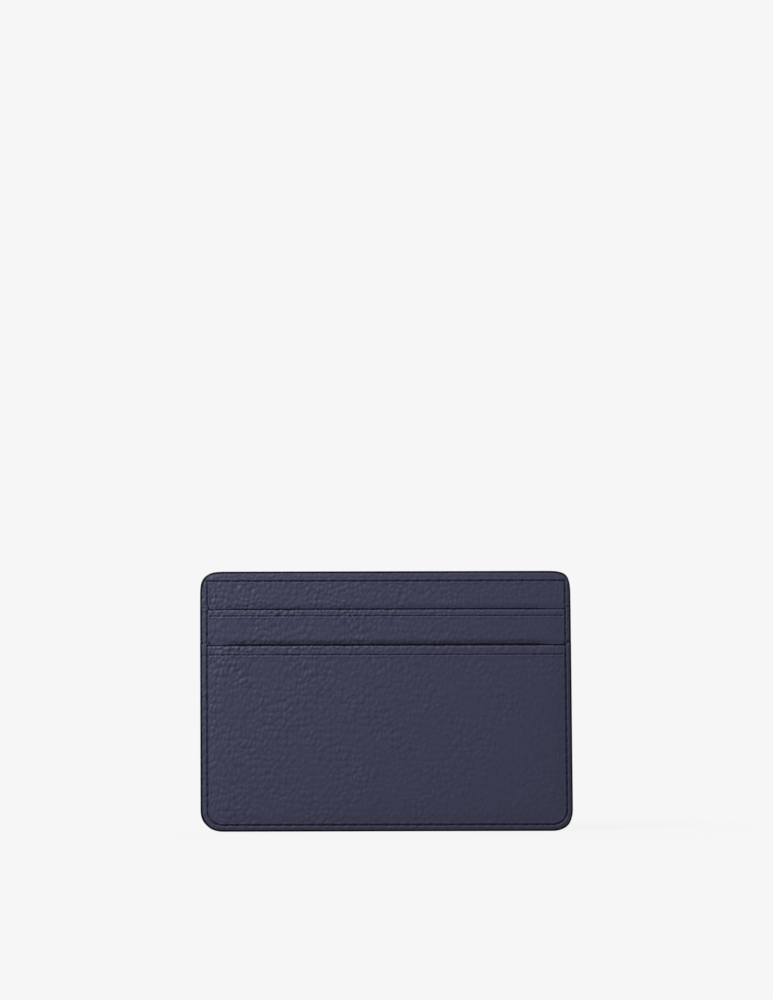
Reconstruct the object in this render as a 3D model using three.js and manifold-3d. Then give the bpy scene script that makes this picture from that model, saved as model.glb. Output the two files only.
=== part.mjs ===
// A slim leather card holder that stands on its sewn bottom edge.
//
// Millimetres. X runs across the holder, Z up from its base, and Y through its thickness; -Y is the front.
//
// Each face of the holder is a stack of three leaves: the wall of the centre pocket, the upper pocket
// outside it, and the lower pocket outside that. The two stacks are alike, set back to back, and sewn
// together along the sides and the bottom, so every leaf is free at its upper edge. That free edge is the
// mouth of a pocket. Inside one stack a place is given by its depth: how far it lies outwards from the
// holder's middle plane.

import * as THREE from "three";
import { mergeVertices } from "three/addons/utils/BufferGeometryUtils.js";
import Module from "manifold-3d";

const wasm = await Module();
wasm.setup();

// Outline
const WIDTH = 100;
const HEIGHT = 69.8;
const TOP_RADIUS = 3.9;
const BOTTOM_RADIUS = 5.3;
const UPPER_LIP = 59.9; // height of the upper pocket's mouth
const LOWER_LIP = 50.45; // height of the lower pocket's mouth

// Layers, by thickness
const LEATHER = 0.6;
const BOARD = 0.2; // stiffener bonded behind a wall's leather
const LINING = 0.12;
const TAPE = 0.1; // non-stretch tape bonded behind a pocket's lip
const GLUE = 0.02; // one line of cement
const LEAF_GAP = 0.12; // between one leaf and the next
const CENTRE_GAP = 0.2; // between the two walls
const PAINT = 0.3; // edge paint over the cut edges
const PAINT_GAP = 0.15; // from a leaf's layers to the paint round them

// Seams
const STITCH = 2.86; // from one needle hole to the next
const THREAD = 0.32; // diameter
const THREAD_SIDES = 6;
const THREAD_DIP = 0.07; // how much deeper the thread lies at a needle hole
const GROOVE_WIDTH = 0.6;
const GROOVE_DEPTH = 0.42;
const EDGE_SEAM = 1.7; // from the sides and the bottom in to the seam
const TOP_SEAM = 2.65; // from a wall's top edge down to its own seam

// Pockets
const TAPE_WIDTH = 6;
const UPPER_CREASE = 2.1; // from the upper lip down to the creased line
const LOWER_CREASE = 3.05;
const CREASE_WIDTH = 0.36;
const CREASE_DEPTH = 0.12;
const STRIP_OVERLAP = 8; // how far the upper pocket's leather runs down behind the lower pocket
const STEM_WIDTH = 90; // the upper pocket's lining narrows to this behind the lower pocket
const STEM_END = 2.5; // lining below the seam that closes the upper pocket

// Depths of the leaves' inner and outer faces
const WALL_INSIDE = CENTRE_GAP / 2;
const WALL_FACE = WALL_INSIDE + LINING + GLUE + BOARD + GLUE + LEATHER;
const POCKET_THICKNESS = LINING + GLUE + TAPE + GLUE + LEATHER;
const UPPER_INSIDE = WALL_FACE + LEAF_GAP;
const UPPER_FACE = UPPER_INSIDE + POCKET_THICKNESS;
const LOWER_INSIDE = UPPER_FACE + LEAF_GAP;
const LOWER_FACE = LOWER_INSIDE + POCKET_THICKNESS;

// Both pockets are as deep as each other, so the upper one is closed this high up.
const CARD_STOP = UPPER_LIP - (LOWER_LIP - EDGE_SEAM);
const LEAF_INSET = PAINT + PAINT_GAP;
const SEAM_X = WIDTH / 2 - EDGE_SEAM;
const TOP_SEAM_Z = HEIGHT - TOP_SEAM;
const SIDE_PAINT_TOP = HEIGHT - TOP_RADIUS - PAINT; // the walls' own paint begins above this
const BEYOND = 5; // how far a cutting solid runs past what it cuts

const finish = {
  leather: { color: 0x3c3d51, roughness: 0.55 },
  lining: { color: 0x2b2c3a, roughness: 0.9 },
  board: { color: 0x8a8378, roughness: 0.95 },
  tape: { color: 0xd9d5c8, roughness: 0.9 },
  thread: { color: 0x26273b, roughness: 0.6 },
  paint: { color: 0x0d0e16, roughness: 0.45 },
};

function piece(name, geometry, kind) {
  const material = new THREE.MeshStandardMaterial({ metalness: 0, ...finish[kind] });
  const mesh = new THREE.Mesh(geometry, material);
  mesh.name = name;
  return mesh;
}

// ---- Solids ----

function solid(geometry) {
  const bare = geometry.clone();
  bare.deleteAttribute("normal");
  bare.deleteAttribute("uv");
  const merged = mergeVertices(bare);
  return new wasm.Manifold(
    new wasm.Mesh({
      numProp: 3,
      vertProperties: merged.attributes.position.array,
      triVerts: new Uint32Array(merged.index.array),
    }),
  );
}

function geometryOf(body) {
  const mesh = body.getMesh();
  const geometry = new THREE.BufferGeometry();
  geometry.setAttribute("position", new THREE.BufferAttribute(mesh.vertProperties, 3));
  geometry.setIndex(new THREE.BufferAttribute(mesh.triVerts, 1));
  geometry.computeVertexNormals();
  return geometry;
}

// The holder's outline in X and Z, moved in from every edge by inset, and ending at a height: cut square
// there, or with round corners where it is the holder's own top.
function outline(inset, top, topRadius = 0) {
  const side = WIDTH / 2 - inset;
  const radius = BOTTOM_RADIUS - inset;
  const shape = new THREE.Shape();
  shape.absarc(radius - side, inset + radius, radius, Math.PI, 1.5 * Math.PI);
  shape.absarc(side - radius, inset + radius, radius, 1.5 * Math.PI, 2 * Math.PI);
  if (topRadius > 0) {
    shape.absarc(side - topRadius, top - topRadius, topRadius, 0, 0.5 * Math.PI);
    shape.absarc(topRadius - side, top - topRadius, topRadius, 0.5 * Math.PI, Math.PI);
  } else {
    shape.lineTo(side, top);
    shape.lineTo(-side, top);
  }
  shape.closePath();
  return shape;
}

function wallOutline(inset) {
  return outline(inset, HEIGHT - inset, TOP_RADIUS - inset);
}

// A flat layer of the front stack: an outline with a thickness, between two depths.
function layer(shape, inner, outer) {
  const flat = { depth: outer - inner, bevelEnabled: false, curveSegments: 4 };
  return new THREE.ExtrudeGeometry(shape, flat).rotateX(Math.PI / 2).translate(0, -inner, 0);
}

function rectangle(left, right, bottom, top) {
  return new THREE.Shape([
    new THREE.Vector2(left, bottom),
    new THREE.Vector2(right, bottom),
    new THREE.Vector2(right, top),
    new THREE.Vector2(left, top),
  ]);
}

// ---- Stitch grooves, as solids to cut away ----

function straightGroove(left, right, bottom, top, face) {
  return solid(layer(rectangle(left, right, bottom, top), face - GROOVE_DEPTH, face + BEYOND));
}

function sideGrooves(bottom, top, face) {
  const half = GROOVE_WIDTH / 2;
  const left = straightGroove(-SEAM_X - half, -SEAM_X + half, bottom, top, face);
  return left.add(straightGroove(SEAM_X - half, SEAM_X + half, bottom, top, face));
}

// Down one side, round the bottom and up the other side.
function perimeterGroove(top, face) {
  const half = GROOVE_WIDTH / 2;
  const outside = layer(outline(EDGE_SEAM - half, top), face - GROOVE_DEPTH, face + BEYOND);
  const inside = layer(outline(EDGE_SEAM + half, top + BEYOND), face - BEYOND, face + 2 * BEYOND);
  return solid(outside).subtract(solid(inside));
}

// ---- Thread ----

// A thread through a list of points, as a tube with one step from each point to the next.
class ThreadCurve extends THREE.Curve {
  constructor(points) {
    super();
    this.points = points;
  }
  getPoint(t, target = new THREE.Vector3()) {
    const last = this.points.length - 1;
    const step = Math.min(Math.floor(t * last), last - 1);
    return target.lerpVectors(this.points[step], this.points[step + 1], t * last - step);
  }
  getUtoTmapping(u) {
    return u;
  }
}

function tube(points) {
  const section = new THREE.Shape();
  section.absarc(0, 0, THREAD / 2, 0, 2 * Math.PI);
  return new THREE.ExtrudeGeometry(section, {
    extrudePath: new ThreadCurve(points),
    steps: points.length - 1,
    curveSegments: THREAD_SIDES / 2,
  });
}

// Stations along a seam: where the thread dips into each needle hole, and where it rises between two holes.
function stitchStations(length) {
  const stitches = Math.round(length / STITCH);
  const stations = [];
  for (let i = 0; i <= 2 * stitches; i += 1) {
    stations.push({ at: (i * length) / (2 * stitches), dip: i % 2 === 0 ? THREAD_DIP : 0 });
  }
  return stations;
}

// The thread leaves a pocket's face just above the lip and reaches the next leaf's face a little higher.
const LIP_LEAVE = 0.3;
const LIP_LAND = 1.3;

function faceAt(height) {
  const below = (lip) => THREE.MathUtils.clamp((lip + LIP_LAND - height) / (LIP_LAND - LIP_LEAVE), 0, 1);
  const upperStep = below(UPPER_LIP) * (UPPER_FACE - WALL_FACE);
  const lowerStep = below(LOWER_LIP) * (LOWER_FACE - UPPER_FACE);
  return WALL_FACE + upperStep + lowerStep;
}

// The seam that holds all the leaves: from the top seam down one side, round the bottom, and up the other.
function perimeterThread() {
  const radius = BOTTOM_RADIUS - EDGE_SEAM;
  const path = new THREE.Path();
  path.moveTo(-SEAM_X, TOP_SEAM_Z);
  path.absarc(radius - SEAM_X, BOTTOM_RADIUS, radius, Math.PI, 1.5 * Math.PI);
  path.absarc(SEAM_X - radius, BOTTOM_RADIUS, radius, 1.5 * Math.PI, 2 * Math.PI);
  path.lineTo(SEAM_X, TOP_SEAM_Z);

  const length = path.getLength();
  // Both ways along the seam, where it leaves each lip and where it lands.
  const crossings = [UPPER_LIP, LOWER_LIP].flatMap((lip) => {
    const land = TOP_SEAM_Z - lip - LIP_LAND;
    const leave = TOP_SEAM_Z - lip - LIP_LEAVE;
    return [[land, leave], [length - leave, length - land]];
  });
  const margin = THREAD / 2;
  const clear = ({ at }) => crossings.every(([from, to]) => at < from - margin || at > to + margin);
  const steps = crossings.flat().map((at) => ({ at, dip: 0 }));
  const stations = [...stitchStations(length).filter(clear), ...steps].sort((a, b) => a.at - b.at);
  return tube(
    stations.map(({ at, dip }) => {
      const place = path.getPoint(at / length);
      return new THREE.Vector3(place.x, THREAD / 2 + dip - faceAt(place.y), place.y);
    }),
  );
}

// A straight seam across the holder, on or in the leaf whose outer face is at a depth.
function straightThread(halfLength, height, face) {
  return tube(
    stitchStations(2 * halfLength).map(
      ({ at, dip }) => new THREE.Vector3(at - halfLength, THREAD / 2 + dip - face, height),
    ),
  );
}

// ---- Leaves of the front stack ----

// The wall of the centre pocket: lining, board and leather, cut flush, with its own seam and paint on top.
function wall(side) {
  const boardInside = WALL_INSIDE + LINING + GLUE;
  const leatherInside = boardInside + BOARD + GLUE;
  const half = GROOVE_WIDTH / 2;
  const reach = SEAM_X + half;
  const topGroove = straightGroove(-reach, reach, TOP_SEAM_Z - half, TOP_SEAM_Z + half, WALL_FACE);
  const shape = wallOutline(LEAF_INSET);
  const leather = solid(layer(shape, leatherInside, WALL_FACE))
    .subtract(topGroove)
    .subtract(sideGrooves(UPPER_LIP - THREAD, TOP_SEAM_Z, WALL_FACE));
  const painted = solid(layer(wallOutline(0), WALL_INSIDE, WALL_FACE));
  const unpainted = solid(layer(wallOutline(PAINT), -BEYOND, BEYOND));
  const bottom = SIDE_PAINT_TOP + PAINT_GAP;
  const below = solid(layer(rectangle(-WIDTH, WIDTH, -BEYOND, bottom), -BEYOND, BEYOND));
  const group = new THREE.Group();
  group.add(
    piece(`${side}_main_panel`, geometryOf(leather), "leather"),
    piece(`${side}_main_board`, layer(shape, boardInside, boardInside + BOARD), "board"),
    piece(`${side}_main_lining`, layer(shape, WALL_INSIDE, WALL_INSIDE + LINING), "lining"),
    piece(`${side}_top_edge_paint`, geometryOf(painted.subtract(unpainted).subtract(below)), "paint"),
    piece(`${side}_top_thread`, straightThread(SEAM_X - STITCH / 2, TOP_SEAM_Z, WALL_FACE), "thread"),
  );
  return group;
}

// A pocket's leather: a flat panel with rounded lower corners, and a creased line across it below the lip.
function pocketLeather(face, lip, bottom, creaseDrop) {
  const inside = face - LEATHER;
  const crease = lip - creaseDrop;
  const section = new THREE.Shape([
    new THREE.Vector2(inside, bottom),
    new THREE.Vector2(face, bottom),
    new THREE.Vector2(face, crease - CREASE_WIDTH / 2),
    new THREE.Vector2(face - CREASE_DEPTH, crease),
    new THREE.Vector2(face, crease + CREASE_WIDTH / 2),
    new THREE.Vector2(face, lip - LEAF_INSET),
    new THREE.Vector2(inside, lip - LEAF_INSET),
  ]);
  // The section lies in depth and height, and runs across the holder.
  const across = new THREE.Matrix4().makeBasis(
    new THREE.Vector3(0, -1, 0),
    new THREE.Vector3(0, 0, 1),
    new THREE.Vector3(-1, 0, 0),
  );
  const run = new THREE.ExtrudeGeometry(section, { depth: WIDTH, bevelEnabled: false });
  run.applyMatrix4(across).translate(WIDTH / 2, 0, 0);
  return solid(run).intersect(solid(layer(outline(LEAF_INSET, HEIGHT), 0, face + BEYOND)));
}

// The mouth of a pocket: paint on its cut edge, notched where the side seams pass over it.
function lipPaint(name, inside, face, lip) {
  const side = WIDTH / 2 - LEAF_INSET;
  const strip = solid(layer(rectangle(-side, side, lip - PAINT, lip), inside, face));
  return piece(name, geometryOf(strip.subtract(sideGrooves(lip - BEYOND, lip + BEYOND, face))), "paint");
}

// A tape between the leather and the lining, along the mouth.
function lipTape(name, inside, lip) {
  const side = WIDTH / 2 - LEAF_INSET;
  const top = lip - LEAF_INSET;
  const tapeInside = inside + LINING + GLUE;
  const strip = rectangle(-side, side, top - TAPE_WIDTH, top);
  return piece(name, layer(strip, tapeInside, tapeInside + TAPE), "tape");
}

// The upper pocket: a strip of leather, on a T-shaped lining that runs on down behind the lower pocket.
function upperPocket(side) {
  const name = `${side}_upper_pocket`;
  const stripBottom = LOWER_LIP - STRIP_OVERLAP;
  const leather = pocketLeather(UPPER_FACE, UPPER_LIP, stripBottom, UPPER_CREASE)
    .subtract(sideGrooves(LOWER_LIP - THREAD, HEIGHT, UPPER_FACE));
  const wing = WIDTH / 2 - LEAF_INSET;
  const stem = STEM_WIDTH / 2;
  const lining = new THREE.Shape([
    new THREE.Vector2(-stem, CARD_STOP - STEM_END),
    new THREE.Vector2(stem, CARD_STOP - STEM_END),
    new THREE.Vector2(stem, stripBottom),
    new THREE.Vector2(wing, stripBottom),
    new THREE.Vector2(wing, UPPER_LIP - LEAF_INSET),
    new THREE.Vector2(-wing, UPPER_LIP - LEAF_INSET),
    new THREE.Vector2(-wing, stripBottom),
    new THREE.Vector2(-stem, stripBottom),
  ]);
  const stopFace = UPPER_INSIDE + LINING + GLUE + THREAD + THREAD_DIP;
  const group = new THREE.Group();
  group.add(
    piece(`${name}_strip`, geometryOf(leather), "leather"),
    piece(`${name}_lining`, layer(lining, UPPER_INSIDE, UPPER_INSIDE + LINING), "lining"),
    lipTape(`${name}_lip_tape`, UPPER_INSIDE, UPPER_LIP),
    lipPaint(`${name}_lip_paint`, UPPER_INSIDE, UPPER_FACE, UPPER_LIP),
    piece(`${name}_card_stop_thread`, straightThread(stem - STITCH / 2, CARD_STOP, stopFace), "thread"),
  );
  return group;
}

// The lower pocket: the outermost leaf, whose face carries the seam that holds the whole stack.
function lowerPocket(side) {
  const name = `${side}_lower_pocket`;
  const leather = pocketLeather(LOWER_FACE, LOWER_LIP, 0, LOWER_CREASE)
    .subtract(perimeterGroove(HEIGHT, LOWER_FACE));
  const lining = outline(LEAF_INSET, LOWER_LIP - LEAF_INSET);
  const group = new THREE.Group();
  group.add(
    piece(`${name}_panel`, geometryOf(leather), "leather"),
    piece(`${name}_lining`, layer(lining, LOWER_INSIDE, LOWER_INSIDE + LINING), "lining"),
    lipTape(`${name}_lip_tape`, LOWER_INSIDE, LOWER_LIP),
    lipPaint(`${name}_lip_paint`, LOWER_INSIDE, LOWER_FACE, LOWER_LIP),
    piece(`${side}_perimeter_thread`, perimeterThread(), "thread"),
  );
  return group;
}

function stack(side) {
  const group = new THREE.Group();
  group.add(wall(side), upperPocket(side), lowerPocket(side));
  return group;
}

// ---- Painted edge round the sides and the bottom ----

// One band of paint round both stacks, as thick through as the leaves that end behind it at each height.
function sidePaint() {
  const band = (depth, top) =>
    solid(layer(outline(0, top), -depth, depth)).subtract(
      solid(layer(outline(PAINT, top + BEYOND), -depth - BEYOND, depth + BEYOND)),
    );
  return band(WALL_FACE, SIDE_PAINT_TOP).add(band(UPPER_FACE, UPPER_LIP)).add(band(LOWER_FACE, LOWER_LIP));
}

// ---- Card holder ----

const holder = new THREE.Group();
const front = stack("front");
const back = stack("back");
back.rotation.z = Math.PI; // the same stack, turned to face +Y
holder.add(front, back, piece("side_edge_paint", geometryOf(sidePaint()), "paint"));

export default holder;
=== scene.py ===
"""A slim leather card holder, in Blender: pebbled leather leaves, painted edges, sunk seams, twill linings.

All lengths are in metres. X runs across the holder, Z up from its base and Y through its thickness, and the
front faces -Y. Inside one stack of leaves a place is given by its depth: how far out it lies from the middle
plane. The back stack is the front one turned round, so every shape is worked out for the front.
"""

import math

import bpy
import numpy as np
from mathutils import Matrix, Vector


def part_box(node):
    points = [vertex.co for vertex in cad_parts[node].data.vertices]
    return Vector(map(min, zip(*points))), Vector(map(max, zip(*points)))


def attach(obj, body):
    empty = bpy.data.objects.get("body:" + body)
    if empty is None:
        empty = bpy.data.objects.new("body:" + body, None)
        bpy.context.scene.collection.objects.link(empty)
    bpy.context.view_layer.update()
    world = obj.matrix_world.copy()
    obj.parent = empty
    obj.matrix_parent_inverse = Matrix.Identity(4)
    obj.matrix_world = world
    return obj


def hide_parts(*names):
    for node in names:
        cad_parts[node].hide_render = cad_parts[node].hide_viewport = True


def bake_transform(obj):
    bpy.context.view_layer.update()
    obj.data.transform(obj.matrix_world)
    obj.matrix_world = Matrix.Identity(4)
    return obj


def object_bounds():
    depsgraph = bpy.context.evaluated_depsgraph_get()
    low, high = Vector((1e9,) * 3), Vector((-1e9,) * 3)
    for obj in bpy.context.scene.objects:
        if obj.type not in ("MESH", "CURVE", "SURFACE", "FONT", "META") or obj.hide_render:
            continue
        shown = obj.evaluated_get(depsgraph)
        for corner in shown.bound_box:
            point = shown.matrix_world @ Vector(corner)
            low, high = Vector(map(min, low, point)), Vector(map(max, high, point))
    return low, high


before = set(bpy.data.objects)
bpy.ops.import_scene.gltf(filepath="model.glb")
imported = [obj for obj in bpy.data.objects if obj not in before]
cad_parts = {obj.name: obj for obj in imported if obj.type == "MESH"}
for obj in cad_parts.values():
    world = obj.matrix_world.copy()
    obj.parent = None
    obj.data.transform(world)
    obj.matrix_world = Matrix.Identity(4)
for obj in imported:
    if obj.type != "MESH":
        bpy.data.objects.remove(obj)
cad_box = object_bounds()

MM = 0.001


# ---- Sizes, from the frame ----


def depths(node):
    """The inner and outer depth of a node of the front stack."""
    low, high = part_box(node)
    return -high[1], -low[1]


HALF = cad_box[1][0]
HEIGHT = cad_box[1][2]
WALL_INSIDE = depths("front_main_lining")[0]
WALL_FACE = depths("front_main_panel")[1]
UPPER_INSIDE = depths("front_upper_pocket_lining")[0]
UPPER_FACE = depths("front_upper_pocket_strip")[1]
LOWER_INSIDE = depths("front_lower_pocket_lining")[0]
LOWER_FACE = depths("front_lower_pocket_panel")[1]
UPPER_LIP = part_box("front_upper_pocket_lip_paint")[1][2]
LOWER_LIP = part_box("front_lower_pocket_lip_paint")[1][2]
STRIP_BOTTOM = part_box("front_upper_pocket_strip")[0][2]
STEM_MARGIN = 1.4 * MM  # how far the upper lining's stem runs past the card-stop seam
STEM_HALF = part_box("front_upper_pocket_card_stop_thread")[1][0] + STEM_MARGIN
STEM_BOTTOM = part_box("front_upper_pocket_lining")[0][2]
LEATHER = depths("front_lower_pocket_panel")[1] - depths("front_lower_pocket_panel")[0]
TAPE_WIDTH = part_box("front_upper_pocket_lip_tape")[1][2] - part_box("front_upper_pocket_lip_tape")[0][2]
CARD_STOP = sum(c[2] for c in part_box("front_upper_pocket_card_stop_thread")) / 2
TOP_SEAM = sum(c[2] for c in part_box("front_top_thread")) / 2
THREAD_RADIUS = 0.15 * MM
SEAM_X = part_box("front_perimeter_thread")[1][0] - 0.16 * MM
EDGE_SEAM = HALF - SEAM_X

STITCH = 2.86 * MM  # from one needle hole to the next
TOP_CORNER = (7.9 * MM, 4)  # how far from a corner its rounding starts, and its power as a superellipse
BOTTOM_CORNER = (6.2 * MM, 2.4)
SIDE_PAINT_TOP = HEIGHT - TOP_CORNER[0]
LEAN = 0.6 * MM  # the right side leans in by this at the top
SEWN_OFF = 0.25 * MM  # how far right of centre the seams were sewn
UPPER_CREASE = 2.1 * MM  # how far each creased line runs under its lip
LOWER_CREASE = 3.05 * MM
PRESSED = 0.86  # what the seam leaves of the stack's thickness
PILLOW = 2.6 * MM  # how fast the stack fills out again, inwards from the seam
GROOVE = 0.34 * MM  # depth of a seam's groove
GROOVE_HALF = 0.2 * MM
DENT, DENT_RADIUS = 0.1 * MM, 0.33 * MM  # at each needle hole
PUCKER, PUCKER_RADIUS = 0.11 * MM, 0.9 * MM  # beside the groove, between the holes
CREASE, CREASE_HALF = 0.22 * MM, 0.16 * MM
CREASE_RIDGE, CREASE_RIDGE_HALF = 0.05 * MM, 0.22 * MM
GRAIN = 0.34 * MM  # the tallest pebbles
LEATHER_INSET = 0.3 * MM  # how far the leather stops short of the edge paint's outside
PLY_INSET = 0.45 * MM  # the same for tapes, boards and linings at the sides and the lips
PLY_END = 0.5 * MM  # and for boards and linings at the bottom and the top
EDGE_ROUND = 0.28 * MM  # how far short of a face the dome of the edge paint ends
PAINT_ROOT = 0.7 * MM  # how far in from the edge the paint reaches, inside the stack
PAINT_BED = 0.5 * MM  # how deep the paint's lap is rooted under a face


# ---- Shape of the stack ----


def corner(drop, rounding, inset):
    """How far a rounded corner draws the side in, at a drop from the corner's own level."""
    reach, power = rounding[0] - inset, rounding[1]
    t = np.clip(1 - drop / reach, 0, 1)
    return reach * (1 - (1 - t**power) ** (1 / power))


def half_width(z, inset, round_top=False):
    """Half the width at a height, moved in from the edges by inset."""
    drawn = corner(z - inset, BOTTOM_CORNER, inset)
    if round_top:
        drawn = drawn + corner(HEIGHT - inset - z, TOP_CORNER, inset)
    return HALF - inset - drawn


def from_edge(x, z, rounding=BOTTOM_CORNER):
    """How far a place lies in from the sides, and from the end that z is measured from."""
    reach, power = rounding
    across = np.clip(reach - (HALF - np.abs(x)), 0, None)
    down = np.clip(reach - z, 0, None)
    return reach - (across**power + down**power) ** (1 / power)


def press(x, z):
    """The share of its thickness that the stack keeps: PRESSED at the seam and outside it, 1 well inside."""
    side = 1 - np.exp(-np.clip(SEAM_X - np.abs(x), 0, None) / PILLOW)
    bottom = 1 - np.exp(-np.clip(z - EDGE_SEAM, 0, None) / PILLOW)
    return PRESSED + (1 - PRESSED) * side * bottom


def smooth(low, high, value):
    t = np.clip((value - low) / (high - low), 0, 1)
    return t * t * (3 - 2 * t)


def bump(value, width):
    return np.exp(-((value / width) ** 2))


def place(side, x, depth, z):
    """World places of points of one stack. The back stack is the front one turned round."""
    turn = 1 if side == "front" else -1
    x = turn * x
    x = x + SEWN_OFF * smooth(HALF, SEAM_X, np.abs(x))
    x = np.where(x > 0, x * (1 - LEAN / HALF * z / HEIGHT), x)
    return np.stack(np.broadcast_arrays(x, -turn * depth, z), axis=-1)


def resampled(points, spacing):
    """Points spaced evenly along a polyline, and the unit tangent at each."""
    step = np.linalg.norm(np.diff(points, axis=0), axis=1)
    keep = np.concatenate([[True], step > 1e-9])
    points = points[keep]
    along = np.concatenate([[0], np.cumsum(np.linalg.norm(np.diff(points, axis=0), axis=1))])
    count = max(2, round(along[-1] / spacing) + 1)
    at = np.linspace(0, along[-1], count)
    even = np.stack([np.interp(at, along, points[:, k]) for k in range(points.shape[1])], axis=1)
    tangent = np.gradient(even, axis=0)
    return even, tangent / np.linalg.norm(tangent, axis=1, keepdims=True)


def rim(inset, end, rounding=BOTTOM_CORNER):
    """The outline in X and Z, from the height end on the left side, round the bottom, to end on the right."""
    turn = np.linspace(0, math.pi / 2, 200)
    whole, power = rounding
    reach = whole - inset
    x = HALF - whole + reach * np.cos(turn) ** (2 / power)
    z = whole - reach * np.sin(turn) ** (2 / power)
    right = np.stack([x, z], axis=1)
    left = right * (-1, 1)
    top = HALF - inset
    return np.concatenate([[(-top, end)], left, right[::-1], [(top, end)]])


# ---- Grain ----

PEBBLE = 1.15 * MM  # width of a pebble
SLANT = 0.2  # how far the pebbles lean over, for each height up


def wander(x, z, size, seed):
    """A slow, smooth field from -1 to 1, with features of about a size."""
    rng = np.random.default_rng(seed)
    total = np.zeros_like(x)
    for _ in range(6):
        angle, phase = rng.uniform(0, 2 * math.pi, 2)
        wave = size * rng.uniform(0.7, 1.6)
        total += np.sin(2 * math.pi * (x * math.cos(angle) + z * math.sin(angle)) / wave + phase)
    return total / 6


def pebbles(x, z, width, height, seed):
    """Pebbled grain from 0 in the creases to 1 on the tops, in cells of about a width and a height."""
    rng = np.random.default_rng(seed)
    spread = 0.9 * width
    u = (x - SLANT * z + spread * wander(x, z, 7 * MM, seed + 1)) / width
    v = (z + spread * wander(x, z, 6 * MM, seed + 2)) / height
    columns, rows = np.floor(u).astype(int), np.floor(v).astype(int)
    columns0, rows0 = columns.min() - 1, rows.min() - 1
    shape = (columns.max() - columns0 + 2, rows.max() - rows0 + 2)
    jitter = rng.uniform(0.08, 0.92, (*shape, 2))
    tall = rng.uniform(0.55, 1.0, shape)
    nearest = np.full(u.shape, 9.0)
    second = np.full(u.shape, 9.0)
    top = np.zeros(u.shape)
    for i in (-1, 0, 1):
        for j in (-1, 0, 1):
            a, b = columns + i - columns0, rows + j - rows0
            gap = np.hypot(columns + i + jitter[a, b, 0] - u, rows + j + jitter[a, b, 1] - v)
            closer = gap < nearest
            second = np.where(closer, nearest, np.minimum(second, gap))
            top = np.where(closer, tall[a, b], top)
            nearest = np.where(closer, gap, nearest)
    dome = 1 - np.clip(nearest / 0.85, 0, 1) ** 2
    return (0.5 * smooth(0.0, 0.45, second - nearest) + 0.5 * dome) * top


def grain(x, z, height, seed):
    """Leather grain from 0 to 1: pebbles of a height, with finer ones over them."""
    coarse = pebbles(x, z, PEBBLE, height, seed)
    fine = pebbles(x, z, 0.7 * PEBBLE, 0.6 * height, seed + 20)
    return 0.85 * coarse + 0.25 * fine


# ---- Mesh making ----


def graded(low, high, coarse, fine, centres, reach):
    """Positions from low to high, closer together within reach of each centre."""
    found = [low]
    while found[-1] < high:
        near = min((abs(found[-1] - c) for c in centres), default=1)
        share = min(max((near - reach) / reach, 0), 1)
        found.append(found[-1] + fine + (coarse - fine) * share)
    found = np.array(found)
    return low + (found - low) * (high - low) / (found[-1] - low)


def loft(name, rings):
    """A closed mesh through a run of closed rings: an array of rings by points by 3."""
    count, around = rings.shape[:2]
    index = np.arange(count * around).reshape(count, around)
    after = np.roll(index, -1, axis=1)
    quads = np.stack([index[:-1], after[:-1], after[1:], index[1:]], axis=-1).reshape(-1, 4)
    points = rings.reshape(-1, 3)
    corners = points[quads] - points.mean(axis=0)
    volume = np.einsum("ij,ij->", corners[:, 0], np.cross(corners[:, 1], corners[:, 2]))
    volume += np.einsum("ij,ij->", corners[:, 0], np.cross(corners[:, 2], corners[:, 3]))
    ends = [index[0][::-1], index[-1]]
    if volume < 0:
        quads = quads[:, ::-1]
        ends = [end[::-1] for end in ends]
    mesh = bpy.data.meshes.new(name)
    mesh.from_pydata(points.tolist(), [], quads.tolist() + [end.tolist() for end in ends])
    mesh.polygons.foreach_set("use_smooth", np.ones(len(mesh.polygons), bool))
    mesh.set_sharp_from_angle(angle=math.radians(55))
    obj = bpy.data.objects.new(name, mesh)
    bpy.context.scene.collection.objects.link(obj)
    return obj


def leaf(name, side, columns, rows_out, rows_in, width, out_depth, in_depth, relief=None, lift=None):
    """A flat layer of a stack: an outer and an inner face over rows of heights.

    columns run from -1 to 1 across it, and width says how far that is at each height. relief raises the outer
    face, and its second value is kept on the points as the 'grain' attribute that colours the leather: grain,
    with painted shade and painted highlight in it. lift moves points up within the leaf.
    """
    z = np.concatenate([rows_out, rows_in])
    x = columns[:, None] * width(z)[None, :]
    z = np.broadcast_to(z, x.shape)
    if lift is not None:
        z = z + lift(x, z)
    outer = np.arange(z.shape[1]) < len(rows_out)
    depth = np.where(outer, out_depth, in_depth) * press(x, z)
    grained = np.zeros_like(x)
    if relief is not None:
        raised, grained = relief(x, z)
        depth = depth + np.where(outer, raised, 0)
    obj = loft(name, place(side, x, depth, z))
    # The 'grain' attribute holds grain tone, painted shade in grooves and creases, and painted highlight on
    # the pockets' upper edges.
    attribute = obj.data.attributes.new("grain", "FLOAT", "POINT")
    attribute.data.foreach_set("value", np.where(outer, grained, 0.5).astype(np.float32).ravel())
    return obj


# ---- Seams ----

SIDE_HOLES = resampled(rim(EDGE_SEAM, TOP_SEAM), STITCH)[0]
TOP_HOLES = resampled(np.array([(-SEAM_X, TOP_SEAM), (SEAM_X, TOP_SEAM)]), STITCH)[0]


def spots(x, z, centres, radius):
    """Round bumps of height 1 at the centres."""
    total = np.zeros(x.shape)
    for across, up in centres:
        near = (np.abs(x - across) < 2.5 * radius) & (np.abs(z - up) < 2.5 * radius)
        total[near] += np.exp(-((x[near] - across) ** 2 + (z[near] - up) ** 2) / radius**2)
    return total


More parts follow.
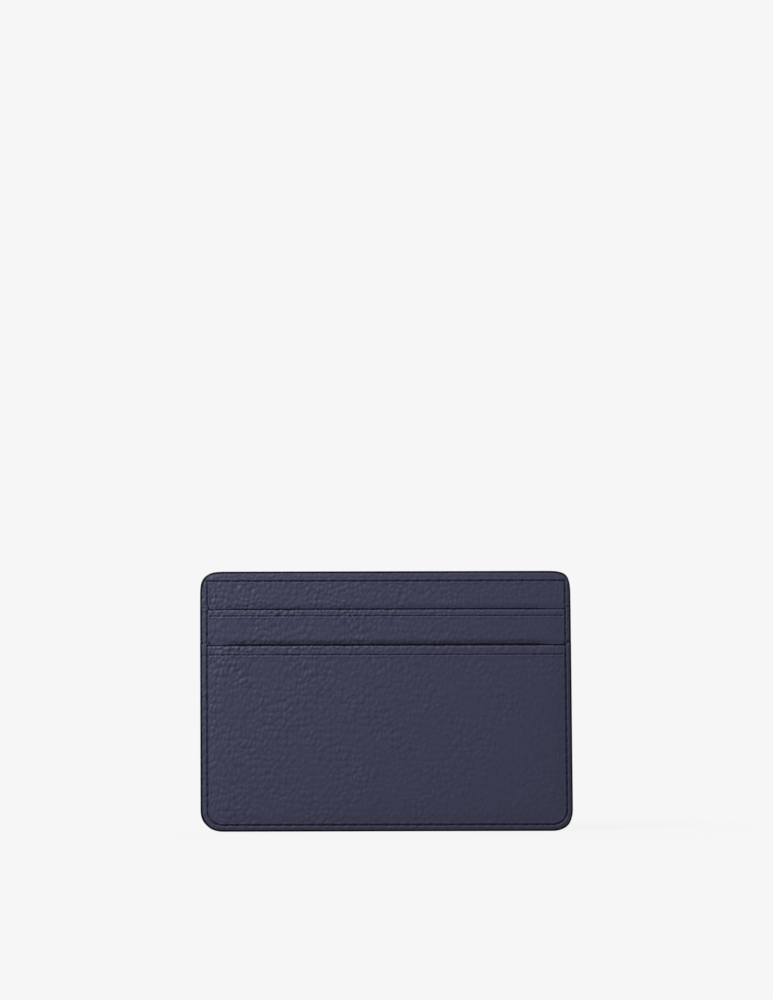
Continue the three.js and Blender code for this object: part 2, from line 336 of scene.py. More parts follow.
def sewn(x, z, holes, gap):
    """How a seam shapes the leather: a groove along it, a dent at each hole and puckers between the holes."""
    between = (holes[1:] + holes[:-1]) / 2
    pucker = spots(x, z, between, PUCKER_RADIUS) * bump(np.abs(gap) - 2.4 * GROOVE_HALF, GROOVE_HALF)
    return -GROOVE * bump(gap, GROOVE_HALF) - DENT * spots(x, z, holes, DENT_RADIUS) + PUCKER * pucker


def roll(inward):
    """How far a face curves down where it meets the edge paint."""
    return 0.3 * MM * np.clip(1 - inward / (1.5 * MM), 0, 1) ** 2


# ---- Leather ----


def valley(z, lip, x):
    """How a leaf's face sinks towards the mouth of the pocket in front of it."""
    middle = 1 - smooth(38 * MM, 46 * MM, np.abs(x))
    reach = (1.15 + 0.45 * wander(x, 0 * x, 9 * MM, 40)) * MM
    return smooth(lip + reach, lip - 0.2 * MM, z) * (0.35 + 0.65 * middle)


def wall_relief(seed, shown_from):
    """The relief of a wall's leather, with the side and top seams. It has no grain below shown_from."""

    def relief(x, z):
        past_side, past_top = np.abs(x) - SEAM_X, z - TOP_SEAM
        side_gap = np.hypot(past_side, np.clip(past_top, 0, None))
        top_gap = np.hypot(np.clip(past_side, 0, None), past_top)
        sides, top = sewn(x, z, SIDE_HOLES, side_gap), sewn(x, z, TOP_HOLES, top_gap)
        seams = np.where(np.abs(sides) > np.abs(top), sides, top)
        edge = np.minimum(from_edge(x, z), from_edge(x, HEIGHT - z, TOP_CORNER))
        gap = np.minimum(side_gap, top_gap)
        calm = calmed(gap) * smooth(0, 1.2 * MM, edge) * (1 - 0.4 * smooth(TOP_SEAM - 0.3 * MM, TOP_SEAM, z))
        shaped = seams - roll(edge) - 0.15 * MM * valley(z, UPPER_LIP, x)
        # The last argument darkens the colour in the seam grooves: painted shade.
        return relief_of(x, z, seed, 1.45 * MM, 1.5 * calm, shown_from, shaped, bump(gap, GROOVE_HALF))

    return relief


def pocket_relief(seed, level, lip, crease_drop, shown_from):
    """The relief of a pocket's leather, with its seam, its creased line and its rounded upper edge."""
    painted = PAINTED_LIP[level]
    leather_top = lip - painted

    def relief(x, z):
        edge = from_edge(x, z)
        seam = edge - EDGE_SEAM
        crease = z - (lip - crease_drop)
        ridge = bump(crease + 0.42 * MM, CREASE_RIDGE_HALF)
        creased = -CREASE * bump(crease, CREASE_HALF) + CREASE_RIDGE * ridge
        creased = creased * smooth(0.2 * MM, 1.0 * MM, SEAM_X - np.abs(x))
        top = leather_top + spread_up(x, painted)
        shoulder = np.clip(1 - (top - z) / SHOULDER, 0, 1)
        drop = SHOULDER_DROP + (STEP - SHOULDER_DROP) * beyond_seam(x)
        shaped = sewn(x, z, SIDE_HOLES, seam) - roll(edge) + creased - drop * shoulder**2
        if level == "upper":
            shaped = shaped - 0.3 * MM * valley(z, LOWER_LIP, x)
        near_lip = smooth(crease_drop, 0.2 * MM, lip - z)
        calm = calmed(seam) * (1.35 + 0.9 * near_lip) * smooth(0, 1.2 * MM, edge)
        # sunk darkens the colour in the seam's groove and along the creased line: painted shade.
        sunk = np.maximum(bump(seam, GROOVE_HALF), 0.7 * bump(crease, CREASE_HALF) * (1 - beyond_seam(x)))
        # Taking away half the shoulder lightens the colour on the rounded upper edge, which faces the light:
        # painted highlight.
        return relief_of(x, z, seed, 1.9 * MM, calm, shown_from, shaped, sunk - 0.5 * shoulder)

    return relief


def calmed(gap):
    """Grain is pressed flat close to a seam."""
    return 0.5 + 0.5 * smooth(0.2 * MM, 1.2 * MM, np.abs(gap))


def beyond_seam(x):
    """1 outside the side seams, 0 inside them."""
    return smooth(SEAM_X - 0.2 * MM, SEAM_X + 0.3 * MM, np.abs(x))


def spread_up(x, painted):
    """Outside the side seams a pocket's leather is pressed up past its paint by this."""
    return (painted + 0.15 * MM) * beyond_seam(x)


def relief_of(x, z, seed, pebble_height, calm, shown_from, shaped, sunk):
    """The height and the grain of a leather face: bolder at the upper left. The grain value also colours the
    face, darker where it is sunk (painted shade in seam grooves and creases) and paler where sunk is negative
    (painted highlight).

    shaped is the height of all that isn't grain. There is no grain below shown_from, where a pocket hides it.
    """
    shown = smooth(shown_from, shown_from + 2 * MM, z) if shown_from > EDGE_SEAM else 1
    raised = grain(x, z, pebble_height, seed)
    patch = 0.8 + 0.5 * wander(x, z, 16 * MM, seed + 60)
    bold = (0.62 - 0.34 * x / HALF) * (0.64 + 0.36 * z / HEIGHT) * patch
    height = GRAIN * bold * calm * (raised - 0.5)
    slow = 0.05 * MM * wander(x, z, 30 * MM, seed + 80)
    # The second value is the 'grain' attribute that colours the leather: grain, minus painted shade where
    # sunk.
    return (height + slow) * shown + shaped, 0.5 + (raised - 0.5) * calm * bold - 0.8 * sunk


FINE_EDGE = 2.6 * MM  # the meshes are finer within this of the sides
ACROSS = graded(-HALF, HALF, 0.3 * MM, 0.12 * MM, (-HALF, HALF), FINE_EDGE) / HALF
ACROSS_PLAIN = graded(-HALF, HALF, 1.2 * MM, 0.4 * MM, (-HALF, HALF), FINE_EDGE) / HALF
SHOULDER = 0.55 * MM  # height of the rounded upper edge of a pocket's leather
SHOULDER_DROP = 0.36 * MM
# The lower lip's paint is taller so that its dark line also stands in for the shade in the pocket's mouth:
# partly painted shade.
PAINTED_LIP = {"upper": 0.38 * MM, "lower": 0.6 * MM}  # height of the paint over a pocket's cut edge
STEP = PRESSED * (UPPER_FACE - WALL_FACE)  # from one leaf's face down to the next


def rows_up(low, high, shown_from, centres):
    """Heights for the outer face: coarse where another leaf hides it, fine round the centres."""
    shown = graded(shown_from, high, 0.3 * MM, 0.1 * MM, centres, 0.5 * MM)
    if shown_from <= low:
        return shown
    return np.concatenate([np.linspace(low, shown_from, 16)[:-1], shown])


def rows_down(low, high):
    """Heights for the inner face, which is smooth: only its upper end is finer."""
    knee = high - 2 * MM
    return np.concatenate([np.linspace(high, knee, 3)[:-1], np.linspace(knee, low, 14)])


def leather_leaf(name, side, low, high, face, shown_from, centres, relief, round_top=False, lift=None):
    """A leaf of grained leather. Its rows are fine round the centres, which are heights."""

    def width(z):
        return half_width(z, LEATHER_INSET, round_top)

    rows = rows_up(low, high, shown_from, centres)
    return leaf(name, side, ACROSS, rows, rows_down(low, high), width, face, face - LEATHER, relief, lift)


def plain_leaf(name, side, low, high, inner, outer, round_top=False):
    """A smooth leaf between two depths: a board, a tape or a lining."""

    def width(z):
        return half_width(z, PLY_INSET, round_top)

    rows = np.unique(np.concatenate([np.linspace(low, high, 40), [low + 0.4 * MM, high - 0.4 * MM]]))
    return leaf(name, side, ACROSS_PLAIN, rows, rows[::-1], width, outer, inner)


# ---- Edge paint ----


def stepped_face(z, start, end):
    """The depth of the stack's face at its sides. It steps in at each lip, from start to end over the lip."""
    upper = 1 - smooth(UPPER_LIP + start, UPPER_LIP + end, z)
    lower = 1 - smooth(LOWER_LIP + start, LOWER_LIP + end, z)
    return WALL_FACE + upper * (UPPER_FACE - WALL_FACE) + lower * (LOWER_FACE - UPPER_FACE)


def swept(name, side, path, section):
    """A closed band along a path in X and Z. section gives how far in from it a point lies, and its depth."""
    points, tangent = resampled(path, 0.45 * MM)
    inward = np.stack([-tangent[:, 1], tangent[:, 0]], axis=1)
    into, depth = section(points[:, :1], points[:, 1:])
    x = points[:, :1] + inward[:, :1] * into
    z = points[:, 1:] + inward[:, 1:] * into
    return loft(name, place(side, x, depth, z))


WRAP = 0.5 * MM  # how far paint laps onto a face
LAP_IN = np.array([1.0, 0.93, 0.75, 0.5, 0.22]) * WRAP
LAP_RISE = np.array([-0.03, 0.03, 0.05, 0.04, -0.01]) * MM  # over the face, so that the lap is a thin bead
BRIM = 0.45 * MM  # how wide the rounding of the dome is


def domed(inner, outer, seams, lap_inner):
    """A paint section from an inner to an outer depth: domed, dipping over each join between layers.

    seams are the depths of the joins. The inner end is rounded too where lap_inner says so.
    """
    across = np.linspace(0.03, 0.97, 44)[None, :]
    depth = inner + (outer - inner) * across
    dip = sum(0.05 * MM * bump(np.abs(depth) - seam, 0.09 * MM) for seam in seams)
    edge = np.minimum(across, 1 - across) if lap_inner else 1 - across
    reach = np.minimum(edge * (outer - inner), BRIM) / BRIM
    into = 0.2 * MM * (1 - np.sqrt(1 - (1 - reach) ** 2)) + dip
    return into, depth


def lapped(face):
    """How paint laps onto a face: how far in from the edge each point lies, and its depth."""
    lap = face - roll(LAP_IN)[None, :] + LAP_RISE[None, :]
    return np.broadcast_to(LAP_IN, lap.shape), lap


def side_section(x, z):
    """The paint round the sides and the bottom: it covers both stacks, and laps onto both faces."""
    face = stepped_face(z, -0.1 * MM, 0.5 * MM) * PRESSED
    seams = [PRESSED * (WALL_FACE + UPPER_INSIDE) / 2, PRESSED * (UPPER_FACE + LOWER_INSIDE) / 2, 0]
    into, depth = domed(-face + EDGE_ROUND, face - EDGE_ROUND, seams, True)
    lap_in, lap = lapped(face)
    back = np.broadcast_to(PAINT_ROOT, face.shape)
    into = np.concatenate([back, lap_in, into, lap_in[:, ::-1], back], axis=1)
    depth = np.concatenate([-face + PAINT_BED, -lap, depth, lap[:, ::-1], face - PAINT_BED], axis=1)
    return into, depth


def top_section(x, z):
    """The paint along one wall's top edge. Outside the side seams it narrows the gap to the other wall."""
    share = press(x, z)
    inner = WALL_INSIDE * share * (1 - 0.9 * beyond_seam(x))
    face = WALL_FACE * share
    into, depth = domed(inner, face - EDGE_ROUND, [WALL_INSIDE + 0.15 * MM], False)
    lap_in, lap = lapped(face)
    back = np.broadcast_to(PAINT_ROOT, face.shape)
    into = np.concatenate([back, into, lap_in[:, ::-1], back], axis=1)
    depth = np.concatenate([inner, depth, lap[:, ::-1], face - PAINT_BED], axis=1)
    return into, depth


def lip_paint(name, side, inner, face, lip, painted):
    """Paint on a pocket's cut edge, domed, and thinner towards the side seams. Its dark line is partly real
    paint and partly painted shade: it is taller in the middle, where the shade in the pocket's mouth falls.
    """
    x = ACROSS[:, None] * (SEAM_X + 0.15 * MM)
    turn = np.linspace(0, math.pi, 15)[None, :]
    # Taller in the middle than near the side seams: partly painted shade of the pocket's mouth.
    height = painted * (1 - 0.45 * smooth(39 * MM, 46 * MM, np.abs(x)))
    height = height + 0.025 * MM * wander(x, 0 * x, 6 * MM, 5)
    outer = face - SHOULDER_DROP + 0.06 * MM
    middle, half = (inner + outer) / 2, (outer - inner) / 2
    depth = middle + half * np.cos(turn) + 0 * x
    z = lip - painted - 0.03 * MM + height * np.sin(turn) ** 0.7
    base = lip - painted - 0.25 * MM
    depth = np.concatenate([depth, np.full(x.shape, inner), np.full(x.shape, outer - 0.15 * MM)], axis=1)
    z = np.concatenate([z, np.full(x.shape, base), np.full(x.shape, base)], axis=1)
    return loft(name, place(side, x, depth * press(x, z), z))


# ---- Thread ----

TWIST = 1.1 * MM  # over this length each of the three strands moves round to where the next one was
THREAD_SUNK = 0.24 * MM  # how far under the face a seam's thread lies


def sewing(name, side, holes, face_depth, sunk):
    """A thread through a seam's holes: it lies along the groove, slanting a little, and dips into each hole.

    face_depth gives the depth of the leather's face at a place, and sunk how far under it the thread lies.
    """
    share = np.array([0.0, 0.05, 0.12, 0.22, 0.35, 0.5, 0.65, 0.78, 0.88, 0.95])
    dip = np.array([0.42, 0.24, 0.09, 0.02, 0.0, 0.0, 0.0, 0.02, 0.09, 0.24]) * MM
    slant = np.array([0.0, -0.7, -1.0, -0.8, -0.4, 0.0, 0.4, 0.8, 1.0, 0.7]) * 0.07 * MM
    start, step = holes[:-1, None, :], (holes[1:] - holes[:-1])[:, None, :]
    along = (start + step * share[None, :, None]).reshape(-1, 2)
    along = np.concatenate([along, holes[-1:]])
    dip = np.append(np.tile(dip, len(step)), dip[0])
    slant = np.append(np.tile(slant, len(step)), slant[0])
    tangent = np.gradient(along, axis=0)
    tangent /= np.linalg.norm(tangent, axis=1, keepdims=True)
    aside = np.stack([-tangent[:, 1], tangent[:, 0]], axis=1)
    centre = along + aside * slant[:, None]
    depth = face_depth(centre[:, 0], centre[:, 1]) - sunk - dip
    around = np.linspace(0, 2 * math.pi, 13)[:-1][None, :]
    travelled = np.concatenate([[0], np.cumsum(np.linalg.norm(np.diff(centre, axis=0), axis=1))])[:, None]
    strand = 1 + 0.09 * np.cos(3 * around + 2 * math.pi * travelled / TWIST)
    radius = THREAD_RADIUS * strand
    x = centre[:, :1] + aside[:, :1] * radius * np.cos(around)
    z = centre[:, 1:] + aside[:, 1:] * radius * np.cos(around)
    return loft(name, place(side, x, depth[:, None] + radius * np.sin(around), z))


def sewn_face(x, z):
    """The depth of the face that the side seam lies on, pressed."""
    return stepped_face(z, 0.2 * MM, 1.1 * MM) * press(x, z)


# ---- Materials ----


class Finish:
    """A procedural material round one Principled shader, with coordinates in millimetres."""

    def __init__(self, name, **values):
        self.material = bpy.data.materials.new(name)
        self.material.use_nodes = True
        self.tree = self.material.node_tree
        self.shader = self.tree.nodes["Principled BSDF"]
        for socket, value in values.items():
            self.shader.inputs[socket.replace("_", " ")].default_value = value
        coordinates = self.tree.nodes.new("ShaderNodeTexCoord")
        mapping = self.add("ShaderNodeMapping", Vector=coordinates.outputs["Object"])
        mapping.inputs["Scale"].default_value = (1 / MM, 1 / MM, 1 / MM)
        self.place = mapping.outputs["Vector"]

    def set(self, socket, value):
        if isinstance(value, bpy.types.NodeSocket):
            self.tree.links.new(value, socket)
        else:
            socket.default_value = value

    def add(self, kind, settings=None, **inputs):
        node = self.tree.nodes.new(kind)
        for key, value in (settings or {}).items():
            setattr(node, key, value)
        for key, value in inputs.items():
            self.set(node.inputs[key.replace("_", " ")], value)
        return node

    def noise(self, scale, detail=3.0, vector=None):
        node = self.add("ShaderNodeTexNoise", Vector=vector or self.place, Scale=scale, Detail=detail)
        return node.outputs["Fac"]

    def cells(self, scale, vector=None):
        settings = {"feature": "DISTANCE_TO_EDGE"}
        node = self.add("ShaderNodeTexVoronoi", settings, Vector=vector or self.place, Scale=scale)
        return node.outputs["Distance"]

    def stretched(self, scale):
        mapping = self.add("ShaderNodeMapping", Vector=self.place)
        mapping.inputs["Scale"].default_value = scale
        return mapping.outputs["Vector"]

    def ramp(self, value, low, high, to_low=0.0, to_high=1.0):
        limits = {"From_Min": low, "From_Max": high, "To_Min": to_low, "To_Max": to_high}
        node = self.add("ShaderNodeMapRange", Value=value, **limits)
        return node.outputs["Result"]

    def maths(self, operation, a, b):
        node = self.tree.nodes.new("ShaderNodeMath")
        node.operation = operation
        self.set(node.inputs[0], a)
        self.set(node.inputs[1], b)
        return node.outputs[0]

    def mix(self, factor, a, b):
        node = self.tree.nodes.new("ShaderNodeMix")
        node.data_type = "RGBA"
        self.set(node.inputs["Factor"], factor)
        self.set(node.inputs["A"], a)
        self.set(node.inputs["B"], b)
        return node.outputs["Result"]

    def colour(self, value):
        self.set(self.shader.inputs["Base Color"], value)

    def rough(self, value):
        self.set(self.shader.inputs["Roughness"], value)

    def bumps(self, *layers):
        """Layers of bump, each a height from 0 to 1 and how deep it is."""
        normal = None
        for height, depth in layers:
            node = self.add("ShaderNodeBump", Height=height, Distance=depth, Strength=1.0)
            if normal is not None:
                self.set(node.inputs["Normal"], normal)
            normal = node.outputs["Normal"]
        self.set(self.shader.inputs["Normal"], normal)


# Leather colours. The deep navy shows low in the grain and most of all in seam grooves and creases, where it
# is painted shade. The pale navy shows on raised grain in patches and on the pockets' rounded upper edges,
# where it is painted highlight.
NAVY = (0.044, 0.046, 0.089, 1)
NAVY_DEEP_AND_PAINTED_SHADE = (0.022, 0.023, 0.052, 1)
NAVY_PALE_AND_PAINTED_HIGHLIGHT = (0.055, 0.057, 0.104, 1)


def leather_finish():
    f = Finish("pebbled_leather", Specular_IOR_Level=0.3)
    # The 'grain' attribute holds grain tone, painted shade in grooves and creases, and painted highlight on
    # the pockets' upper edges.
    raised = f.add("ShaderNodeAttribute", {"attribute_name": "grain"}).outputs["Fac"]
    cloud = f.noise(0.09, 2.0)
    # Darker where the 'grain' attribute is low: low grain, and painted shade in seam grooves and creases.
    tone = f.mix(f.ramp(raised, -0.3, 0.55), NAVY_DEEP_AND_PAINTED_SHADE, NAVY)
    # Paler on raised grain in patches, and on the pockets' rounded upper edges, where it is painted
    # highlight.
    f.colour(f.mix(f.maths("MULTIPLY", f.ramp(cloud, 0.2, 0.7), f.ramp(raised, 0.5, 1.0)), tone, NAVY_PALE_AND_PAINTED_HIGHLIGHT))
    f.rough(f.ramp(f.maths("ADD", raised, f.noise(1.4)), 0.3, 1.6, 0.66, 0.5))
    tall = f.stretched((1.0, 1.0, 0.7))
    f.bumps(
        (f.ramp(f.cells(2.6, tall), 0.0, 0.16), 0.007 * MM),
        (f.noise(5.0, 4.0), 0.007 * MM),
    )
    return f.material


def paint_finish():
    f = Finish("edge_paint", Specular_IOR_Level=0.1)
    patch = f.noise(0.7, 4.0)
    f.colour(f.mix(f.ramp(patch, 0.3, 0.7), (0.0015, 0.0015, 0.004, 1), (0.003, 0.003, 0.008, 1)))
    f.rough(f.ramp(f.noise(2.0), 0.3, 0.7, 0.42, 0.56))
    f.bumps((f.noise(2.2, 4.0), 0.02 * MM), (f.noise(9.0, 3.0), 0.006 * MM))
    return f.material


def thread_finish():
    f = Finish("bonded_thread", Specular_IOR_Level=0.3, Sheen_Weight=0.2, Sheen_Roughness=0.5)
    fibre = f.noise(11.0, 3.0)
    f.colour(f.mix(f.ramp(fibre, 0.3, 0.7), (0.010, 0.011, 0.030, 1), (0.020, 0.022, 0.050, 1)))
    f.rough(f.ramp(fibre, 0.3, 0.7, 0.55, 0.7))
    f.bumps((fibre, 0.03 * MM))
    return f.material


def lining_finish():
    """Fine twill: diagonal ribs, each broken into short floats."""
    f = Finish("twill_lining", Specular_IOR_Level=0.25, Sheen_Weight=0.25, Sheen_Roughness=0.5)
    turned = f.add("ShaderNodeMapping", Vector=f.place)
    turned.inputs["Rotation"].default_value = (0, math.radians(52), 0)
    bands = {"wave_type": "BANDS", "bands_direction": "X"}
    ribs = f.add("ShaderNodeTexWave", bands, Vector=turned.outputs["Vector"], Scale=0.75, Distortion=0.25)
    floats = f.add("ShaderNodeTexWave", bands, Vector=f.place, Scale=1.15, Distortion=0.4)
    weave = f.maths("ADD", ribs.outputs["Fac"], f.maths("MULTIPLY", floats.outputs["Fac"], 0.45))
    f.colour(f.mix(f.ramp(weave, 0.2, 1.3), (0.008, 0.0085, 0.018, 1), (0.030, 0.031, 0.056, 1)))
    f.rough(f.ramp(f.noise(3.0), 0.3, 0.7, 0.75, 0.9))
    f.bumps((f.ramp(weave, 0.0, 1.45), 0.05 * MM), (f.noise(12.0), 0.01 * MM))
    return f.material


def fibre_finish(name, dark, pale, fibre_scale):
    f = Finish(name, Specular_IOR_Level=0.2)
    fibre = f.noise(fibre_scale, 6.0, f.stretched((1.0, 1.0, 0.22)))
    crossing = f.noise(fibre_scale, 6.0, f.stretched((0.22, 1.0, 1.0)))
    both = f.maths("MAXIMUM", fibre, crossing)
    f.colour(f.mix(f.ramp(both, 0.4, 0.7), dark, pale))
    f.rough(f.ramp(both, 0.4, 0.7, 0.95, 0.8))
    f.bumps((both, 0.04 * MM))
    return f.material


LEATHER_FINISH = leather_finish()
PAINT_FINISH = paint_finish()
THREAD_FINISH = thread_finish()
LINING_FINISH = lining_finish()
BOARD_FINISH = fibre_finish("fibre_board", (0.16, 0.14, 0.115, 1), (0.30, 0.27, 0.23, 1), 1.6)
TAPE_FINISH = fibre_finish("lip_tape", (0.55, 0.53, 0.48, 1), (0.78, 0.76, 0.70, 1), 2.4)


# ---- Fastening pieces: their materials, and the back wall's body ----


def fasten(piece, body, finish, slot, *nodes):
    """Gives a piece its material and hides the frame's nodes that it stands for. A piece of the back wall is
    attached to that body; any other piece only has its placement baked into its points. A leaf is sewn to the
    back wall.
    """
    piece.data.materials.append(finish)
    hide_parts(*nodes)
    if body == "back_wall":
        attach(piece, body)
        return
    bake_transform(piece)
    points = np.zeros(len(piece.data.vertices) * 3, np.float32)
    piece.data.vertices.foreach_get("co", points)
    points = points.reshape(-1, 3)


# ---- The two stacks ----

WALL_BODIES = {"front": "front_wall", "back": "back_wall"}
WALL_SHOWN_FROM = UPPER_LIP - 9 * MM  # below these heights a face has no grain, as a pocket hides it
UPPER_SHOWN_FROM = LOWER_LIP - 7.5 * MM


def build_wall(side, seed):
    """One wall of the centre pocket: leather, stiffener, lining, and the painted and sewn top edge."""
    body = WALL_BODIES[side]
    leather = leather_leaf(
        f"{side}_wall_leather",
        side,
        LEATHER_INSET,
        HEIGHT - 0.2 * MM,
        WALL_FACE,
        WALL_SHOWN_FROM,
        (TOP_SEAM, HEIGHT - 0.6 * MM),
        wall_relief(seed, WALL_SHOWN_FROM),
        round_top=True,
    )
    fasten(leather, body, LEATHER_FINISH, "leather", f"{side}_main_panel")

    low, high = PLY_END, HEIGHT - PLY_END
    board = plain_leaf(f"{side}_wall_stiffener", side, low, high, *depths("front_main_board"), round_top=True)
    fasten(board, body, BOARD_FINISH, "board", f"{side}_main_board")

    lining = plain_leaf(f"{side}_wall_lining", side, low, high, *depths("front_main_lining"), round_top=True)
    fasten(lining, body, LINING_FINISH, "lining", f"{side}_main_lining")

    top_rim = rim(0, TOP_CORNER[0], TOP_CORNER)[::-1] * (1, -1) + (0, HEIGHT)
    paint = swept(f"{side}_wall_edge", side, top_rim, top_section)
    fasten(paint, body, PAINT_FINISH, "edge_paint", f"{side}_top_edge_paint")

    def face_depth(x, z):
        return WALL_FACE * press(x, z)

    thread = sewing(f"{side}_top_stitching", side, TOP_HOLES, face_depth, THREAD_SUNK)
    fasten(thread, body, THREAD_FINISH, "thread", f"{side}_top_thread")


def build_pocket(side, seed, level, low, lip, crease_drop, shown_from, lining_shape):
    """A pocket's leather, stay tape, lining and painted lip. lining_shape makes its lining up to a top."""
    body = f"{side}_{level}_leaf"
    node = f"{side}_{level}_pocket"
    inside, face = (UPPER_INSIDE, UPPER_FACE) if level == "upper" else (LOWER_INSIDE, LOWER_FACE)
    crease = lip - crease_drop
    painted = PAINTED_LIP[level]
    centres = [crease, lip - painted]
    if low < EDGE_SEAM:
        centres += [low, EDGE_SEAM]

    def lift(x, z):
        return spread_up(x, painted) * smooth(lip - 3 * MM, lip - painted, z)

    relief = pocket_relief(seed, level, lip, crease_drop, shown_from)
    leather = leather_leaf(
        f"{side}_{level}_leather", side, low, lip - painted, face, shown_from, centres, relief, lift=lift
    )
    fasten(leather, body, LEATHER_FINISH, "leather", f"{node}_strip" if level == "upper" else f"{node}_panel")

    top = lip - PLY_INSET
    tape_depths = depths(f"front_{level}_pocket_lip_tape")
    tape = plain_leaf(f"{side}_{level}_stay_tape", side, top - TAPE_WIDTH, top, *tape_depths)
    fasten(tape, body, TAPE_FINISH, "tape", f"{node}_lip_tape")

    lining = lining_shape(f"{side}_{level}_lining", *depths(f"front_{level}_pocket_lining"), top)
    fasten(lining, body, LINING_FINISH, "lining", f"{node}_lining")

    paint = lip_paint(f"{side}_{level}_lip_edge", side, inside, face, lip, painted)
    fasten(paint, body, PAINT_FINISH, "edge_paint", f"{node}_lip_paint")
    return leather, lining


def build_upper(side, seed):
    """An upper pocket. Its lining is T-shaped: wings behind the strip, and a stem down to the card stop."""
    wing = HALF - PLY_INSET

    def lining_shape(name, inner, outer, top):
        def width(z):
            return np.where(z > STRIP_BOTTOM, wing, STEM_HALF)

        stem_rows = np.linspace(STEM_BOTTOM, STRIP_BOTTOM - 0.01 * MM, 20)
        wing_rows = np.linspace(STRIP_BOTTOM + 0.01 * MM, top, 18)
        rows = np.concatenate([stem_rows, wing_rows])
        return leaf(name, side, ACROSS_PLAIN, rows, rows[::-1], width, outer, inner)

    leather, lining = build_pocket(
        side, seed, "upper", STRIP_BOTTOM, UPPER_LIP, UPPER_CREASE, UPPER_SHOWN_FROM, lining_shape
    )
    reach = STEM_HALF - STEM_MARGIN
    across = np.linspace(-reach, reach, round(2 * reach / STITCH) + 1)
    holes = np.stack([across, np.full(across.shape, CARD_STOP)], axis=1)
    face = -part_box("front_upper_pocket_card_stop_thread")[0][1]

    def face_depth(x, z):
        return face * press(x, z)

    thread = sewing(f"{side}_card_stop_stitching", side, holes, face_depth, THREAD_RADIUS)
    fasten(thread, f"{side}_upper_leaf", THREAD_FINISH, "thread", f"{side}_upper_pocket_card_stop_thread")


def build_lower(side, seed):
    """A lower pocket, in front of everything else, so that all of its face is shown."""

    def lining_shape(name, inner, outer, top):
        return plain_leaf(name, side, PLY_END, top, inner, outer)

    leather, lining = build_pocket(
        side, seed, "lower", LEATHER_INSET, LOWER_LIP, LOWER_CREASE, LEATHER_INSET, lining_shape
    )


for side, seed in (("front", 100), ("back", 500)):
    build_wall(side, seed)
    build_upper(side, seed + 100)
    build_lower(side, seed + 200)
    seam = sewing(f"{side}_side_stitching", side, SIDE_HOLES, sewn_face, THREAD_SUNK)
    fasten(seam, "back_wall", THREAD_FINISH, "thread", f"{side}_perimeter_thread")

edge = swept("sewn_edge", "front", rim(0, SIDE_PAINT_TOP), side_section)
fasten(edge, "back_wall", PAINT_FINISH, "edge_paint", "side_edge_paint")


# ---- Stage, light and camera ----

WHITE = 0.922  # the paper white of the room


def build_floor():
    """A pale floor that glows evenly, and takes a faint shadow close to the holder."""
    mesh = bpy.data.meshes.new("floor")
    reach = 6
    corners = [(-reach, -reach, 0), (reach, -reach, 0), (reach, reach, 0), (-reach, reach, 0)]
    mesh.from_pydata(corners, [], [(0, 1, 2, 3)])
    floor = bpy.data.objects.new("floor", mesh)
    bpy.context.scene.collection.objects.link(floor)
    material = bpy.data.materials.new("pale_floor")
    material.use_nodes = True
    tree = material.node_tree
    tree.nodes.clear()
    output = tree.nodes.new("ShaderNodeOutputMaterial")
    glow = tree.nodes.new("ShaderNodeEmission")
    glow.inputs["Color"].default_value = (WHITE, WHITE, WHITE, 1)
    matt = tree.nodes.new("ShaderNodeBsdfDiffuse")
    matt.inputs["Color"].default_value = (0.7, 0.7, 0.7, 1)
    mix = tree.nodes.new("ShaderNodeMixShader")
    coordinates = tree.nodes.new("ShaderNodeTexCoord")
    length = tree.nodes.new("ShaderNodeVectorMath")
    length.operation = "LENGTH"
    fade = tree.nodes.new("ShaderNodeMapRange")
    fade.interpolation_type = "SMOOTHSTEP"
    fade.inputs["From Min"].default_value = 0.05
    fade.inputs["From Max"].default_value = 0.13
    fade.inputs["To Min"].default_value = 0.06
    fade.inputs["To Max"].default_value = 0.0
    tree.links.new(coordinates.outputs["Object"], length.inputs[0])
    tree.links.new(length.outputs["Value"], fade.inputs["Value"])
    tree.links.new(fade.outputs["Result"], mix.inputs["Fac"])
    tree.links.new(glow.outputs["Emission"], mix.inputs[1])
    tree.links.new(matt.outputs["BSDF"], mix.inputs[2])
    tree.links.new(mix.outputs["Shader"], output.inputs["Surface"])
    mesh.materials.append(material)
    floor.visible_diffuse = False
    floor.visible_glossy = False


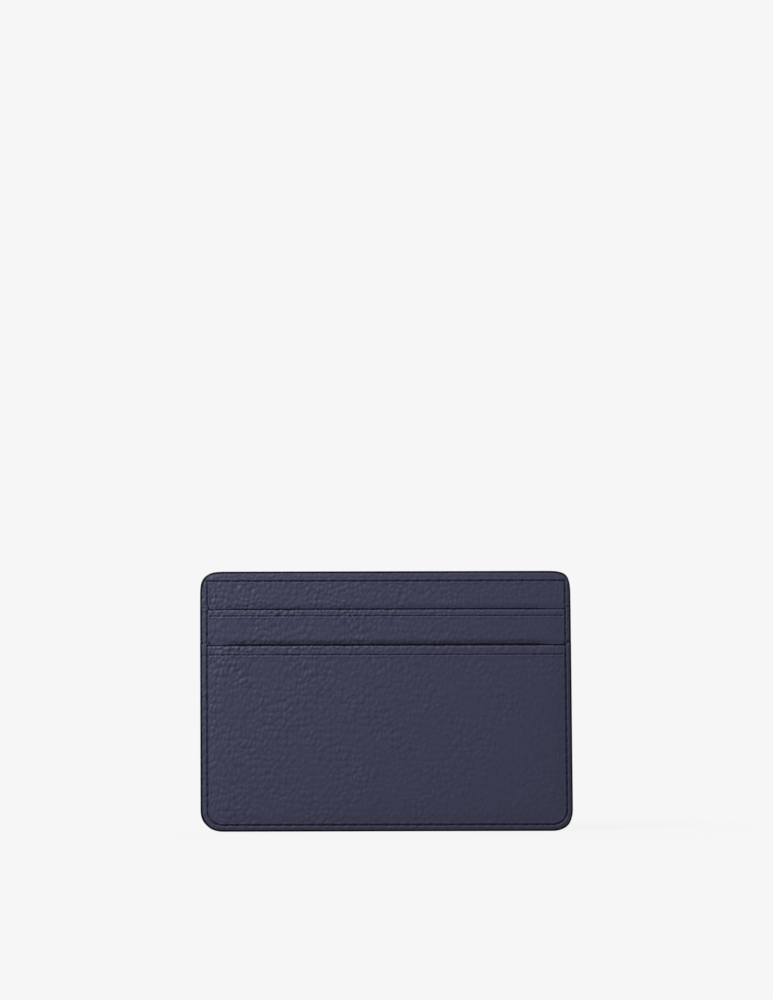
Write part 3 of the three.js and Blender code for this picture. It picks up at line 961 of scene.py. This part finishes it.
def build_world():
    """An even white room to look at, and a dimmer grey one that lights the holder."""
    world = bpy.data.worlds.new("studio")
    bpy.context.scene.world = world
    world.use_nodes = True
    tree = world.node_tree
    tree.nodes.clear()
    output = tree.nodes.new("ShaderNodeOutputWorld")
    seen = tree.nodes.new("ShaderNodeBackground")
    seen.inputs["Color"].default_value = (WHITE, WHITE, WHITE, 1)
    ambient = tree.nodes.new("ShaderNodeBackground")
    ambient.inputs["Color"].default_value = (0.24, 0.24, 0.25, 1)
    path = tree.nodes.new("ShaderNodeLightPath")
    mix = tree.nodes.new("ShaderNodeMixShader")
    tree.links.new(path.outputs["Is Camera Ray"], mix.inputs["Fac"])
    tree.links.new(ambient.outputs["Background"], mix.inputs[1])
    tree.links.new(seen.outputs["Background"], mix.inputs[2])
    tree.links.new(mix.outputs["Shader"], output.inputs["Surface"])


def build_light(name, place, aim, size, energy):
    data = bpy.data.lights.new(name, "AREA")
    data.shape = "RECTANGLE"
    data.size, data.size_y = size
    data.energy = energy
    light = bpy.data.objects.new(name, data)
    bpy.context.scene.collection.objects.link(light)
    light.location = place
    light.rotation_euler = (Vector(aim) - Vector(place)).to_track_quat("-Z", "Y").to_euler()


def build_camera():
    distance = 2.0
    field = 268.6 * MM  # seen from top to bottom at the holder's middle plane
    camera = bpy.data.cameras.new("camera")
    camera.sensor_width = 36
    camera.lens = 36 * distance / field
    camera.clip_end = 30
    obj = bpy.data.objects.new("camera", camera)
    bpy.context.scene.collection.objects.link(obj)
    obj.location = (0.13 * MM, -distance, 88.93 * MM)
    level = Matrix.Rotation(math.pi / 2, 4, "X")
    obj.rotation_euler = (Matrix.Rotation(math.radians(0.15), 4, "Y") @ level).to_euler()
    bpy.context.scene.camera = obj


build_floor()
build_world()
middle = (0, 0, HEIGHT / 2)
build_light("key", (-0.29, -0.22, 0.35), middle, (0.12, 0.12), 2.7)
build_light("fill", (0.9, -0.9, 0.4), middle, (0.8, 0.8), 2)
build_light("back", (0.6, 1.0, 0.8), middle, (0.8, 0.8), 9)
build_camera()
bpy.context.scene.view_settings.view_transform = "Standard"
